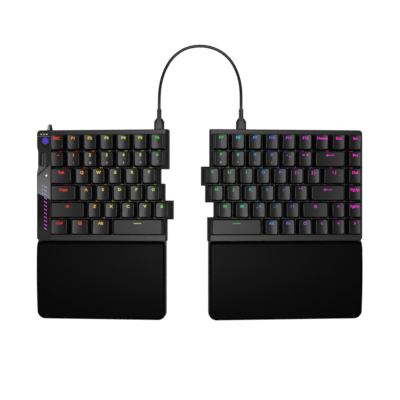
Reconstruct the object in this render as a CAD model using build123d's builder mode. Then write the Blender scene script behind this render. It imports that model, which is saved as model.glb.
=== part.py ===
from build123d import *
from collections import namedtuple
from math import cos, pi, radians, sin, tan
import os

# Ergonomic split keyboard: two halves joined by a short cable, each raised at its inner edge on a
# fold-out leg, with a palm rest in front of each half.
# Each half is drawn flat on its own deck plane and the plane is tilted, so x runs along the rows,
# y from the front row to the back row and z up from the underside of the case, in millimetres.

# Key layout
unit = 19.05                    # key pitch, both ways
tent_angle = 4.8                # slope of each half, rising to the middle
halves_gap = 47.3               # from the last key of the left half to the first of the right one

# Node and width of each key, as a share of the pitch, row by row from the back
left_key_shares = (
    [("left_function_keys", 1)] * 7,
    [("left_number_keys", 1)] * 7,
    [("tab_key", 1.5)] + [("left_upper_letter_keys", 1)] * 5,
    [("caps_lock_key", 1.75)] + [("left_home_letter_keys", 1)] * 5,
    [("left_shift_key", 2.25)] + [("left_lower_letter_keys", 1)] * 5,
    [("left_modifier_keys", 1.25)] * 3 + [("left_space_bar", 3.125)],
)
right_key_shares = (
    [("right_function_keys", 1)] * 9,
    [("right_number_keys", 1)] * 6 + [("backspace_key", 2), ("right_number_keys", 1)],
    [("right_upper_letter_keys", 1)] * 7 + [("backslash_key", 1.5), ("right_upper_letter_keys", 1)],
    [("right_home_letter_keys", 1)] * 6 + [("enter_key", 2.25), ("right_home_letter_keys", 1)],
    [("right_lower_letter_keys", 1)] * 5
    + [("right_shift_key", 1.75), ("up_arrow_key", 1), ("right_lower_letter_keys", 1)],
    [("right_space_bar", 3.125)] + [("right_command_keys", 1)] * 3
    + [("left_arrow_key", 1), ("down_arrow_key", 1), ("right_arrow_key", 1)],
)
left_start_shares = (0, 0, 0, 0, 0, 0)
right_start_shares = (0, 0, -0.5, -0.25, 0.25, -0.125)

# Case: a tray below and a frame above, split at the underside of the switch plate
case_height = 17.0
split_height = 10.0
wall = 1.8
floor_thickness = 2.0
rim = 1.2                       # frame beyond the keys at the stepped inner edge
rear_strip = 5.3
front_strip = 6.7
control_strip = 16.6            # left of the left keys
side_strip = 2.0                # right of the right keys
case_corner = 4.0
top_bevel = 0.7
bottom_bevel = 1.0
fit = 0.1                       # clearance of a piece in its seat
overrun = 1.0                   # how far a cut runs past what it cuts

# Screws that hold the frame to the tray, in bosses in the middle of the rear and front strips
screw_radius = 0.95
screw_hole_radius = 1.1
pilot_radius = 0.97
screw_head_radius = 1.7
screw_head_height = 1.3
screw_bite = 4.0                # thread length in the frame
boss_radius = 2.0
left_rear_screw_shares = (-0.6, 2.5, 5.0)
left_front_screw_shares = (-0.3, 3.2, 6.4)
right_rear_screw_shares = (0.3, 4.5, 8.7)
right_front_screw_shares = (0.3, 4.5, 8.7)

# Switch plate and circuit board
plate_thickness = 1.5
plate_lap = 0.5                 # how far the plate reaches under the frame
switch_hole = 14.0
board_thickness = 1.6
board_drop = 5.0                # from the top of the plate to the top of the board
board_gap = 0.4
support_radius = 2.5
left_support_shares = ((1, 1), (1, 5), (5.9, 1), (5.9, 5))
right_support_shares = ((1, 1), (1, 5), (4.5, 1), (4.5, 5), (8, 1), (8, 5))

# Switch
travel = 3.5
housing_width = 13.9
flange_width = 15.4
flange_thickness = 0.8
housing_base = 14.4
housing_top_width = 10.8
housing_top_depth = 11.4
housing_height = 6.6            # above the plate
post_radius = 2.0
post_reach = 0.2                # how far the locating post stands out below the board
post_clearance = 0.1
slider_width = 7.2
slider_depth = 5.8
slider_clearance = 0.1
slider_height = 5.5
slider_proud = 0.4              # how far the slider stands above its housing
cross_length = 4.0
cross_width = 1.2
cross_height = 3.6
cross_clearance = 0.03

# Stabiliser guides beside the switch of the long keys
long_key_share = 2              # keys from this share of the pitch on have stabilisers
bar_share = 3                   # and from this one on the wide pair
stabiliser_reach = 11.94
bar_reach = 19.05
guide_width = 8.0
guide_depth = 13.0
guide_height = 5.4
guide_floor = 0.5
stabiliser_width = 6.0
stabiliser_depth = 6.4

# Keycap
cap_gap = 0.9                   # between the skirts of two neighbours
cap_lift = 6.1                  # from the plate to the skirt
cap_heights = (9.7, 9.3, 8.7, 8.1, 8.1, 8.4)
cap_slopes = (6.0, 5.0, 2.0, 0.0, -3.0, -4.0)
cap_side_draw = 2.65            # how far each side of the top stands in from the skirt
cap_front_draw = 1.5
cap_rear_draw = 1.2
cap_edge = 0.5                  # rolled edge round the top, in from the side
cap_edge_drop = 0.8
cap_skirt_corner = 1.0
cap_top_corner = 1.9
cap_wall = 1.3
cap_roof = 2.1
cap_scoop = 0.7
cap_lip = 0.4                   # flat left beside the scoop
boss_outer_radius = 2.75
boss_gap = 0.15                 # between the boss and the slider

# Fold-out leg and the feet
leg_thickness = 2.6
leg_barrel_radius = 1.5
leg_axis_height = 1.7
leg_lean = 8.0                  # past square to the deck when it is open
leg_fold = 98.0                 # turn from open to folded
leg_inset = 6.0                 # hinge from the shortest row's end
leg_sole = 1.2
leg_width = 60.0
palm_leg_width = 40.0
leg_side_gap = 0.3
pin_radius = 1.0
pin_length = 1.6
pin_clearance = 0.05
well_depth = 3.4
well_wall = 2.2
well_roof = 0.9
well_front = 2.0
foot_height = 1.2               # rubber at the outer edge, where the half stands on it
foot_width = 9.0
foot_length = 26.0
foot_inset = 2.5
foot_end_inset = 8.0
foot_corner = 3.0
pad_width = 8.0
pad_length = 14.0
pad_height = 1.2
pad_corner = 2.0

# Palm rest
palm_gap = 0.3                  # between the case and the palm rest
palm_depth = 90.5
palm_overhang = 2.0             # past the outer edge of the case
palm_setback = 1.1              # in from the inner edge of the case
palm_base_height = 6.0
palm_reveal = 0.5               # pad in from the edge of its base
palm_rear_height = 14.4
palm_middle_height = 15.6
palm_front_height = 11.6
palm_front_corner = 9.5
palm_rear_corner = 3.5
palm_edge = 2.4

# Control strip: roller, light panel and lenses
roller_place = (-7.7, 85.9)
roller_radius = 3.6
roller_length = 14.4
roller_rise = 1.2               # above the frame
roller_flutes = 18
flute_radius = 0.35
roller_gap = 0.8
roller_slot_corner = 1.5
roller_axle_radius = 1.0
roller_axle_reach = 2.4
axle_clearance = 0.05
encoder_width = 3.6
encoder_length = 2.0
encoder_cap = 1.4               # encoder above the axle
notch_depth = 1.3               # in the outer edge beside the roller
notch_length = 18.0
notch_ramp = 6.0
panel_depth = 1.2
panel_inset = 0.8
panel_right = -0.6
panel_joint_left = 66.8         # slanted upper joint, at the outer and the inner side
panel_joint_right = 80.3
panel_break_left = 47.9         # slanted joint between the upper and the lower panel
panel_break_right = 40.0
panel_front = -2.6
panel_seam = 0.15
dash_count = 12
dash_pitch = 4.34
dash_first = (-6.4, 7.0)
dash_width = 3.2
dash_rise = 1.9                 # slant of a dash over its width
dash_height = 1.0
guide_bar_margin = 0.8
guide_bar_thickness = 1.4
lens_proud = 0.05
lens_depth = 2.4
badge_place = (-6.6, 107.2)
badge_height = 7.0
indicator_places = ((-11.4, 114.8), (-8.3, 114.8), (-5.0, 114.8))
indicator_width = 2.0
indicator_height = 1.1
indicator_corner = 0.4
diamond_place = (-5.4, 67.8)
diamond_size = 2.6

# Woven loop at the rear edge
tag_place = -2.6
tag_width = 6.4
tag_end_width = 3.8
tag_reach = 6.9
tag_root = 2.6
tag_thickness = 0.8
tag_gap = 0.5
tag_height = 12.6               # its middle above the underside

# Battery in the left tray
battery_place_shares = (3.0, 3.1)
battery_width = 62.0
battery_depth = 44.0
battery_thickness = 2.4
battery_corner = 2.0

# Link cable, its plugs and sockets
left_port_x = 123.3
right_port_x = 34.7
port_width = 8.9
port_height = 3.2
port_corner = 1.1
port_length = 6.9
port_wall = 0.3
port_recess = 0.4
plug_shell_width = 8.2
plug_shell_height = 2.5
plug_shell_corner = 0.9
plug_shell_wall = 0.3
plug_shell_reach = 5.6
tongue_width = 6.6
tongue_thickness = 0.7
tongue_length = 4.6
plug_gap = 0.3                  # between the case and the moulded plug
plug_width = 11.6
plug_height = 6.2
plug_corner = 2.4
plug_length = 8.6
plug_neck_width = 7.6
plug_neck_height = 5.2
plug_neck_corner = 1.8
plug_taper = 4.6
relief_radius = 2.3
relief_rib_radius = 2.9
relief_ribs = 5
relief_rib = 1.1
relief_pitch = 2.0
cable_radius = 1.75
# Route from the left plug to the right one, in the frame of the whole keyboard
cable_route = (
    (-46.05, 128.65, 20.76),
    (-46.05, 139.5, 20.76),
    (-45.8, 151.0, 16.6),
    (-44.3, 163.5, 10.0),
    (-40.0, 177.8, 4.6),
    (-32.4, 190.9, 2.2),
    (-21.1, 200.0, 1.95),
    (-10.9, 203.9, 1.9),
    (0.6, 205.2, 1.95),
    (12.2, 203.9, 1.9),
    (25.0, 198.7, 1.95),
    (36.4, 188.5, 2.2),
    (43.6, 174.1, 5.0),
    (46.6, 160.3, 11.0),
    (47.3, 148.7, 17.4),
    (47.2, 138.9, 20.67),
    (47.2, 128.65, 20.67),
)
cable_bend_share = 0.45         # of the shorter run beside a bend

row_count = len(left_start_shares)
block_depth = row_count * unit
plate_top = split_height + plate_thickness
board_top = plate_top - board_drop
board_bottom = board_top - board_thickness
port_middle_height = board_top + port_height / 2
roller_axis_height = case_height + roller_rise - roller_radius
slope = radians(tent_angle)

Key = namedtuple("Key", "node row x y share")


def lay_out(row_shares, start_shares):
    """Every key of one half, with its centre in millimetres."""
    keys = []
    for row, (shares, start) in enumerate(zip(row_shares, start_shares)):
        edge = start
        for node, share in shares:
            centre = edge + share / 2
            keys.append(Key(node, row, centre * unit, (row_count - row - 1 / 2) * unit, share))
            edge += share
    return keys


class Half:
    """One half: its keys, its deck plane and where its outer and inner edges lie."""

    def __init__(self, side, inward, row_shares, start_shares, outer, ports, screws, supports):
        self.side = side
        self.inward = inward                    # +1 where the middle of the keyboard is to the right
        self.keys = lay_out(row_shares, start_shares)
        self.spans = [(start * unit, (start + sum(share for node, share in shares)) * unit)
                      for shares, start in zip(row_shares, start_shares)]
        self.outer = outer
        self.inner = [right if inward > 0 else left for left, right in self.spans]
        self.port_x = ports
        self.screws = screws
        self.supports = [(x * unit, y * unit) for x, y in supports]
        shortest = min(inward * x for x in self.inner) * inward
        self.hinge_x = shortest - inward * leg_inset
        self.reach = abs(self.inner[0] - outer) * cos(slope) + case_height * sin(slope)
        self.lift = foot_height * cos(slope) - (inward * outer + foot_inset) * sin(slope)

    def place(self, outer_x, centre_y):
        """Tilts the deck so that its outer top edge lies at outer_x and its feet on the desk."""
        across = outer_x - self.outer * cos(slope) + self.inward * case_height * sin(slope)
        self.deck = Plane(
            origin=(across, centre_y, self.lift),
            x_dir=(cos(slope), 0, self.inward * sin(slope)),
            z_dir=(-self.inward * sin(slope), 0, cos(slope)),
        )
        self.up = Axis(self.deck.origin, self.deck.z_dir)

    def at(self, x, y, z):
        """A point of the deck in the frame of the whole keyboard."""
        return self.deck.from_local_coords(Vector(x, y, z))

    def across_plane(self, x, y, z):
        """A plane square to the rows' front, at a point of the deck: its y is the deck's z."""
        return Plane(origin=self.at(x, y, z), x_dir=self.deck.x_dir, z_dir=-self.deck.y_dir)


def strip_screws(rear_shares, front_shares):
    rear = [(share * unit, block_depth + rear_strip / 2) for share in rear_shares]
    front = [(share * unit, -front_strip / 2) for share in front_shares]
    return rear + front


left = Half("left", 1, left_key_shares, left_start_shares, -control_strip, left_port_x,
            strip_screws(left_rear_screw_shares, left_front_screw_shares), left_support_shares)
right_block = right_start_shares[0] + sum(share for node, share in right_key_shares[0])
right = Half("right", -1, right_key_shares, right_start_shares, right_block * unit + side_strip,
             right_port_x, strip_screws(right_rear_screw_shares, right_front_screw_shares),
             right_support_shares)
overall_width = left.reach + right.reach + halves_gap
rear_edge = block_depth + rear_strip
palm_rear = -front_strip - palm_gap
palm_front = palm_rear - palm_depth
palm_middle = (palm_rear + palm_front) / 2
middle = (rear_edge + tag_reach + palm_front) / 2
left.place(-overall_width / 2, -middle)
right.place(overall_width / 2, -middle)
halves = (left, right)


def save(part, name):
    part.label = name
    export_step(part, f"parts/{name}.step")


def group(*pieces):
    """Separate solids that share one node."""
    return Compound(children=[solid for piece in pieces for solid in piece.solids()])


# Outlines

def key_block(half, grow=0):
    """The stepped outline of the keys, moved out on all sides."""
    with BuildSketch() as outline:
        for row, (start, end) in enumerate(half.spans):
            with Locations(((start + end) / 2, (row_count - row - 1 / 2) * unit)):
                Rectangle(end - start, unit)
        if grow:
            offset(amount=grow, kind=Kind.INTERSECTION)
    return outline.sketch


def case_outline(half, inset=0):
    """The outline of the case: the keys, the stepped rim and the strips round them."""
    with BuildSketch() as outline:
        for row, inner in enumerate(half.inner):
            low = (row_count - row - 1) * unit - (front_strip if row == row_count - 1 else rim)
            high = (row_count - row) * unit + (rear_strip if row == 0 else rim)
            edge = inner + half.inward * rim
            with Locations(((half.outer + edge) / 2, (low + high) / 2)):
                Rectangle(abs(edge - half.outer), high - low)
        outer_corners = outline.vertices().group_by(Axis.X)[0 if half.inward > 0 else -1]
        fillet(outer_corners, radius=case_corner)
        if half is left:
            x, y = roller_place
            with BuildLine():
                Polyline(
                    (half.outer - overrun, y + notch_length / 2 + notch_ramp),
                    (half.outer, y + notch_length / 2 + notch_ramp),
                    (half.outer + notch_depth, y + notch_length / 2),
                    (half.outer + notch_depth, y - notch_length / 2),
                    (half.outer, y - notch_length / 2 - notch_ramp),
                    (half.outer - overrun, y - notch_length / 2 - notch_ramp),
                    close=True,
                )
            make_face(mode=Mode.SUBTRACT)
        if inset:
            offset(amount=-inset, kind=Kind.INTERSECTION)
    return outline.sketch


def palm_outline(half, inset=0):
    """The outline of a palm rest, with large front corners."""
    outer = half.outer - half.inward * palm_overhang
    edge = half.inner[-1] + half.inward * (rim - palm_setback)
    with BuildSketch() as outline:
        with Locations(((outer + edge) / 2, palm_middle)):
            Rectangle(abs(edge - outer) - 2 * inset, palm_depth - 2 * inset)
        rows = outline.vertices().group_by(Axis.Y)
        fillet(rows[0], radius=palm_front_corner - inset)
        fillet(rows[-1], radius=palm_rear_corner - inset)
    return outline.sketch


# Keycaps and switches, drawn at the centre of a key

def keycap(share, row):
    """A hollow cap on its boss, with z from its skirt."""
    height = cap_heights[row]
    skirt_width = share * unit - cap_gap
    skirt_depth = unit - cap_gap
    top_width = skirt_width - 2 * cap_side_draw
    top_depth = skirt_depth - cap_front_draw - cap_rear_draw
    shift = (cap_front_draw - cap_rear_draw) / 2
    tip = radians(cap_slopes[row])
    top = Plane(origin=(0, shift, height), x_dir=(1, 0, 0), z_dir=(0, -sin(tip), cos(tip)))
    boss_bottom = housing_height + slider_proud + boss_gap - cap_lift
    reaches = stabiliser_reaches(share)
    with BuildPart() as cap:
        with BuildSketch():
            RectangleRounded(skirt_width, skirt_depth, cap_skirt_corner)
        with BuildSketch(top.offset(-cap_edge_drop)):
            RectangleRounded(top_width + 2 * cap_edge, top_depth + 2 * cap_edge, cap_top_corner)
        with BuildSketch(top):
            RectangleRounded(top_width, top_depth, cap_top_corner)
        loft(ruled=True)
        if share < bar_share:
            half_scoop = top_width / 2 - cap_lip
            radius = (half_scoop ** 2 + cap_scoop ** 2) / (2 * cap_scoop)
            with BuildSketch(Plane(origin=top.origin, x_dir=(1, 0, 0), z_dir=-top.y_dir)):
                with Locations((0, radius - cap_scoop)):
                    Circle(radius)
            extrude(amount=unit, both=True, mode=Mode.SUBTRACT)
        with BuildSketch():
            Rectangle(skirt_width - 2 * cap_wall, skirt_depth - 2 * cap_wall)
        with BuildSketch(top.offset(-cap_roof)):
            Rectangle(top_width - cap_wall, top_depth - cap_wall)
        loft(ruled=True, mode=Mode.SUBTRACT)
        with BuildSketch(Plane.XY.offset(boss_bottom)):
            with Locations(*[(x, 0) for x in reaches]):
                Circle(boss_outer_radius)
        extrude(amount=height - (cap_roof + cap_scoop) / 2 - boss_bottom)
        with BuildSketch(Plane.XY.offset(boss_bottom)):
            with Locations(*[(x, 0) for x in reaches]):
                Rectangle(cross_length + 2 * cross_clearance, cross_width + 2 * cross_clearance)
                Rectangle(cross_width + 2 * cross_clearance, cross_length + 2 * cross_clearance)
        extrude(amount=cross_height, mode=Mode.SUBTRACT)
    return cap.part


def stabiliser_reaches(share):
    """Where a cap is held: on its switch and, if it is long, on two stabilisers."""
    if share < long_key_share:
        return (0,)
    reach = bar_reach if share >= bar_share else stabiliser_reach
    return (-reach, 0, reach)


def slider(width, depth, height):
    """A slider with its cross, with z from the plate."""
    top = housing_height + slider_proud
    with BuildPart() as stem:
        with BuildSketch(Plane.XY.offset(top - height)):
            Rectangle(width, depth)
        extrude(amount=height)
        with BuildSketch(Plane.XY.offset(top)):
            Rectangle(cross_length, cross_width)
            Rectangle(cross_width, cross_length)
        extrude(amount=cross_height)
    return stem.part


def switch_housing():
    """A housing that clips into the plate and stands on the board, with z from the plate."""
    with BuildPart() as housing:
        with BuildSketch(Plane.XY.offset(-board_drop)):
            Rectangle(housing_width, housing_width)
        extrude(amount=board_drop)
        with BuildSketch():
            Rectangle(flange_width, flange_width)
        extrude(amount=flange_thickness)
        with BuildSketch(Plane.XY.offset(flange_thickness)):
            Rectangle(housing_base, housing_base)
        with BuildSketch(Plane.XY.offset(housing_height)):
            Rectangle(housing_top_width, housing_top_depth)
        loft()
        post = board_thickness + post_reach
        with BuildSketch(Plane.XY.offset(-board_drop - post)):
            Circle(post_radius)
        extrude(amount=post)
        well = slider_height + travel + 2 * slider_clearance
        with BuildSketch(Plane.XY.offset(housing_height)):
            Rectangle(slider_width + 2 * slider_clearance, slider_depth + 2 * slider_clearance)
        extrude(amount=-well, mode=Mode.SUBTRACT)
    return housing.part


def stabiliser_guide():
    """A guide that stands on the plate, with z from the plate."""
    with BuildPart() as guide:
        with BuildSketch():
            Rectangle(guide_width, guide_depth)
        extrude(amount=guide_height)
        with BuildSketch(Plane.XY.offset(guide_floor)):
            Rectangle(stabiliser_width + 2 * slider_clearance, stabiliser_depth + 2 * slider_clearance)
        extrude(amount=guide_height, mode=Mode.SUBTRACT)
    return guide.part


# What each half is made of

def top_case(half):
    """The frame round the keys, with its rebate for the plate and its screw holes."""
    deck = half.deck
    strip_cuts = control_strip_cuts() if half is left else None
    with BuildPart() as case:
        with BuildSketch(deck.offset(split_height)):
            add(case_outline(half))
        extrude(amount=case_height - split_height)
        chamfer(case.faces().sort_by(half.up)[-1].edges(), length=top_bevel)
        with BuildSketch(deck.offset(split_height)):
            add(key_block(half))
        extrude(amount=case_height - split_height, mode=Mode.SUBTRACT)
        with BuildSketch(deck.offset(split_height)):
            add(key_block(half, plate_lap + fit))
        extrude(amount=plate_thickness + fit, mode=Mode.SUBTRACT)
        with BuildSketch(deck.offset(split_height)):
            with Locations(*half.screws):
                Circle(pilot_radius)
        extrude(amount=screw_bite + fit, mode=Mode.SUBTRACT)
        if strip_cuts:
            add(strip_cuts, mode=Mode.SUBTRACT)
    return case.part


def control_strip_cuts():
    """What is cut from the control strip: roller slot, panel recess, lens seats and loop slot."""
    deck = left.deck
    x, y = roller_place
    slot_length = roller_length + 2 * roller_gap
    slot_width = 2 * roller_radius + 2 * roller_gap
    bay_length = slot_length + 2 * (encoder_length + fit)
    loop_height = 2 * tag_thickness + tag_gap + fit
    with BuildPart() as cuts:
        with BuildSketch(deck.offset(split_height)):
            with Locations((x, y)):
                RectangleRounded(slot_width, slot_length, roller_slot_corner)
        extrude(amount=case_height - split_height)
        with BuildSketch(deck.offset(split_height)):
            with Locations((x, y)):
                Rectangle(encoder_width + 2 * fit, bay_length)
        extrude(amount=roller_axis_height + encoder_cap + fit - split_height)
        with BuildSketch(deck.offset(case_height - panel_depth)):
            add(panel_outline(0))
        extrude(amount=panel_depth)
        with BuildSketch(deck.offset(case_height - panel_depth - guide_bar_thickness)):
            add(guide_bar_outline(fit / 2))
        extrude(amount=guide_bar_thickness)
        with BuildSketch(deck.offset(case_height - lens_depth)):
            add(lens_outlines(fit / 2))
        extrude(amount=lens_depth)
        with BuildSketch(deck.offset(tag_height - loop_height / 2)):
            with Locations((tag_place, rear_edge + overrun)):
                Rectangle(tag_width + fit, tag_root + overrun, align=(Align.CENTER, Align.MAX))
        extrude(amount=loop_height)
    return cuts.part


def bottom_case(half):
    """The tray: walls, screw bosses, board supports, socket notch and the leg's well."""
    deck = half.deck
    block, hollow = leg_well(half, block_depth / 2, leg_width)
    with BuildPart() as case:
        with BuildSketch(deck):
            add(case_outline(half))
        extrude(amount=split_height)
        chamfer(case.faces().sort_by(half.up)[0].edges(), length=bottom_bevel)
        with BuildSketch(deck.offset(floor_thickness)):
            add(case_outline(half, wall))
        extrude(amount=split_height, mode=Mode.SUBTRACT)
        with BuildSketch(deck.offset(floor_thickness)):
            with Locations(*half.screws):
                Circle(boss_radius)
        extrude(amount=split_height - floor_thickness)
        with BuildSketch(deck.offset(floor_thickness)):
            with Locations(*half.supports):
                Circle(support_radius)
        extrude(amount=board_bottom - floor_thickness)
        add(block)
        add(hollow, mode=Mode.SUBTRACT)
        with BuildSketch(deck):
            with Locations(*half.screws):
                Circle(screw_hole_radius)
        extrude(amount=split_height, mode=Mode.SUBTRACT)
        with BuildSketch(deck):
            with Locations(*half.screws):
                Circle(screw_head_radius + fit)
        extrude(amount=screw_head_height + fit, mode=Mode.SUBTRACT)
        with BuildSketch(deck.offset(board_top - fit)):
            with Locations((half.port_x, rear_edge)):
                Rectangle(port_width + 2 * fit, 2 * (wall + overrun))
        extrude(amount=split_height - board_top + fit, mode=Mode.SUBTRACT)
    return case.part


def leg_length(half):
    """From the hinge to the desk along the open leg."""
    height = leg_axis_height * cos(slope) + half.lift + half.inward * half.hinge_x * sin(slope)
    return height / cos(radians(leg_lean) + slope)


def leg_well(half, middle_y, width):
    """The block round the well of a folded leg, and the hollow of the well with its pin holes."""
    deck = half.deck
    near = half.hinge_x + half.inward * well_front
    far = half.hinge_x - half.inward * (leg_length(half) + overrun)
    centre = ((near + far) / 2, middle_y)
    span = abs(near - far)
    opening = width + 2 * leg_side_gap
    with BuildPart() as block:
        with BuildSketch(deck):
            with Locations(centre):
                Rectangle(span + 2 * well_wall, opening + 2 * well_wall)
        extrude(amount=well_depth + well_roof)
    with BuildPart() as hollow:
        with BuildSketch(deck):
            with Locations(centre):
                Rectangle(span, opening)
        extrude(amount=well_depth)
        with BuildSketch(half.across_plane(half.hinge_x, middle_y, leg_axis_height)):
            Circle(pin_radius + pin_clearance)
        extrude(amount=opening / 2 + pin_length, both=True)
    return block.part, hollow.part


def tilt_leg(half, middle_y, width):
    """A fold-out leg with pins on its barrel and a rubber sole that lies flat on the desk."""
    lean = radians(leg_lean)
    length = leg_length(half)
    hinge = half.across_plane(half.hinge_x, middle_y, leg_axis_height)
    along = hinge.x_dir * (half.inward * sin(lean)) - half.deck.z_dir * cos(lean)
    side = Plane(origin=hinge.origin, x_dir=along, z_dir=hinge.z_dir)
    with BuildPart() as arm:
        with BuildSketch(side):
            Circle(leg_barrel_radius)
            Rectangle(length - leg_sole, leg_thickness, align=(Align.MIN, Align.CENTER))
        extrude(amount=width / 2, both=True)
        with BuildSketch(side):
            Circle(pin_radius)
        extrude(amount=width / 2 + leg_side_gap + pin_length - fit, both=True)
    with BuildPart() as sole:
        with BuildSketch(side):
            with Locations((length - leg_sole, 0)):
                Rectangle(leg_sole + leg_thickness, leg_thickness, align=(Align.MIN, Align.CENTER))
        extrude(amount=width / 2, both=True)
        split(bisect_by=Plane.XY, keep=Keep.TOP)
    return group(arm.part, sole.part)


def feet(half, rear, front, inner_pads):
    """Rubber feet: wedges on the desk at the outer edge, and flat pads at the inner edge."""
    deck = half.deck
    outer_x = half.outer + half.inward * (foot_inset + foot_width / 2)
    ends = (rear - foot_end_inset - foot_length / 2, front + foot_end_inset + foot_length / 2)
    with BuildPart() as rubber:
        with BuildSketch(deck):
            with Locations(*[(outer_x, y) for y in ends]):
                RectangleRounded(foot_width, foot_length, foot_corner)
        extrude(amount=-(foot_height + foot_width))
        split(bisect_by=Plane.XY, keep=Keep.TOP)
        if inner_pads:
            pads = (rear - foot_end_inset - pad_length / 2, front + foot_end_inset + pad_length / 2)
            with BuildSketch(deck):
                with Locations(*[(half.hinge_x, y) for y in pads]):
                    RectangleRounded(pad_width, pad_length, pad_corner)
            extrude(amount=-pad_height)
    return rubber.part


def switch_plate(half):
    deck = half.deck
    with BuildPart() as plate:
        with BuildSketch(deck.offset(split_height)):
            add(key_block(half, plate_lap))
            with Locations(*[(key.x, key.y) for key in half.keys]):
                Rectangle(switch_hole, switch_hole, mode=Mode.SUBTRACT)
        extrude(amount=plate_thickness)
    return plate.part


def circuit_board(half):
    deck = half.deck
    with BuildPart() as board:
        with BuildSketch(deck.offset(board_bottom)):
            add(case_outline(half, wall + board_gap))
            with Locations(*[(key.x, key.y) for key in half.keys]):
                Circle(post_radius + post_clearance, mode=Mode.SUBTRACT)
            with Locations(*half.screws):
                Circle(boss_radius + board_gap, mode=Mode.SUBTRACT)
        extrude(amount=board_thickness)
    return board.part


def case_screws(half):
    deck = half.deck
    with BuildPart() as screws:
        with BuildSketch(deck):
            with Locations(*half.screws):
                Circle(screw_head_radius)
        extrude(amount=screw_head_height)
        with BuildSketch(deck.offset(screw_head_height)):
            with Locations(*half.screws):
                Circle(screw_radius)
        extrude(amount=split_height + screw_bite - screw_head_height)
    return screws.part


def switches(half):
    """The switch housings, with the stabiliser guides of the long keys."""
    housing = switch_housing()
    guide = stabiliser_guide()
    with BuildPart(half.deck) as pieces:
        with Locations(*[(key.x, key.y, plate_top) for key in half.keys]):
            add(housing)
        guides = [(key.x + reach, key.y, plate_top) for key in half.keys
                  for reach in stabiliser_reaches(key.share) if reach]
        with Locations(*guides):
            add(guide)
    return pieces.part


def key_group(half, node):
    """The caps of one node and the sliders that they sit on."""
    keys = [key for key in half.keys if key.node == node]
    row, share = keys[0].row, keys[0].share
    with BuildPart(half.deck) as caps:
        with Locations(*[(key.x, key.y, plate_top + cap_lift) for key in keys]):
            add(keycap(share, row))
    with BuildPart(half.deck) as stems:
        with Locations(*[(key.x, key.y, plate_top) for key in keys]):
            add(slider(slider_width, slider_depth, slider_height))
        guides = [(key.x + reach, key.y, plate_top) for key in keys
                  for reach in stabiliser_reaches(share) if reach]
        if guides:
            bottom = guide_floor + travel + slider_clearance
            with Locations(*guides):
                add(slider(stabiliser_width, stabiliser_depth, housing_height + slider_proud - bottom))
    return group(caps.part, stems.part)


# Control strip of the left half

def panel_outline(inset):
    """Both panels together, in from the edge of their recess."""
    x_left = -control_strip + panel_inset + inset
    x_right = panel_right - inset
    with BuildSketch() as outline:
        with BuildLine():
            Polyline(
                (x_left, panel_front + inset),
                (x_right, panel_front + inset),
                (x_right, panel_joint_right - inset),
                (x_left, panel_joint_left - inset),
                close=True,
            )
        make_face()
    return outline.sketch


def dash_outlines(grow):
    """The slanted light dashes, evenly spaced."""
    x, y = dash_first
    reach = dash_width / 2 + grow
    half_height = dash_height / 2 + grow
    with BuildSketch() as dash:
        with BuildLine():
            Polyline(
                (-reach, dash_rise / 2 + half_height),
                (-reach, dash_rise / 2 - half_height),
                (reach, -dash_rise / 2 - half_height),
                (reach, -dash_rise / 2 + half_height),
                close=True,
            )
        make_face()
    with BuildSketch() as dashes:
        with Locations(*[(x, y + index * dash_pitch) for index in range(dash_count)]):
            add(dash.sketch)
    return dashes.sketch


def guide_bar_outline(grow):
    x, y = dash_first
    length = (dash_count - 1) * dash_pitch + dash_rise + dash_height + 2 * guide_bar_margin
    with BuildSketch() as outline:
        with Locations((x, y + (dash_count - 1) * dash_pitch / 2)):
            Rectangle(dash_width + 2 * (guide_bar_margin + grow), length + 2 * grow)
    return outline.sketch


def lens_outlines(grow):
    """The badge light and the small indicators; the diamond is in the panel."""
    with BuildSketch() as outline:
        with Locations(badge_place):
            RegularPolygon(badge_height / 2 + grow, 6, major_radius=False, rotation=30)
        with Locations(*indicator_places):
            RectangleRounded(indicator_width + 2 * grow, indicator_height + 2 * grow, indicator_corner)
    return outline.sketch


def diamond_outline(grow):
    with BuildSketch() as outline:
        with Locations(diamond_place):
            RegularPolygon(diamond_size / 2 + grow, 4)
    return outline.sketch


def indicator_panel():
    """The smoked upper panel and the dark lower one, with slots for the lights."""
    deck = left.deck
    x_left = -control_strip
    with BuildPart() as panels:
        with BuildSketch(deck.offset(case_height - panel_depth)):
            add(panel_outline(panel_seam))
            add(dash_outlines(fit / 2), mode=Mode.SUBTRACT)
            add(diamond_outline(fit / 2), mode=Mode.SUBTRACT)
            with BuildLine():
                Polyline(
                    (x_left, panel_break_left + panel_seam),
                    (panel_right, panel_break_right + panel_seam),
                    (panel_right, panel_break_right),
                    (x_left, panel_break_left),
                    close=True,
                )
            make_face(mode=Mode.SUBTRACT)
        extrude(amount=panel_depth)
    return panels.part


def light_guides():
    """The bar of light dashes, the badge light, three indicators and the diamond."""
    deck = left.deck
    with BuildPart() as bar:
        with BuildSketch(deck.offset(case_height - panel_depth - guide_bar_thickness)):
            add(guide_bar_outline(0))
        extrude(amount=guide_bar_thickness)
        with BuildSketch(deck.offset(case_height - panel_depth)):
            add(dash_outlines(0))
        extrude(amount=panel_depth + lens_proud)
    with BuildPart() as lenses:
        with BuildSketch(deck.offset(case_height - lens_depth)):
            add(lens_outlines(0))
        extrude(amount=lens_depth + lens_proud)
        with BuildSketch(deck.offset(case_height - panel_depth)):
            add(diamond_outline(0))
        extrude(amount=panel_depth + lens_proud)
    return group(bar.part, lenses.part)


def control_roller():
    """The fluted roller on its axle, which lies along the deck's y."""
    x, y = roller_place
    side = left.across_plane(x, y, roller_axis_height)
    with BuildPart() as roller:
        with BuildSketch(side):
            Circle(roller_radius)
            with PolarLocations(roller_radius, roller_flutes):
                Circle(flute_radius, mode=Mode.SUBTRACT)
        extrude(amount=roller_length / 2, both=True)
        with BuildSketch(side):
            Circle(roller_axle_radius)
        extrude(amount=roller_length / 2 + roller_axle_reach, both=True)
    return roller.part


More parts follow.
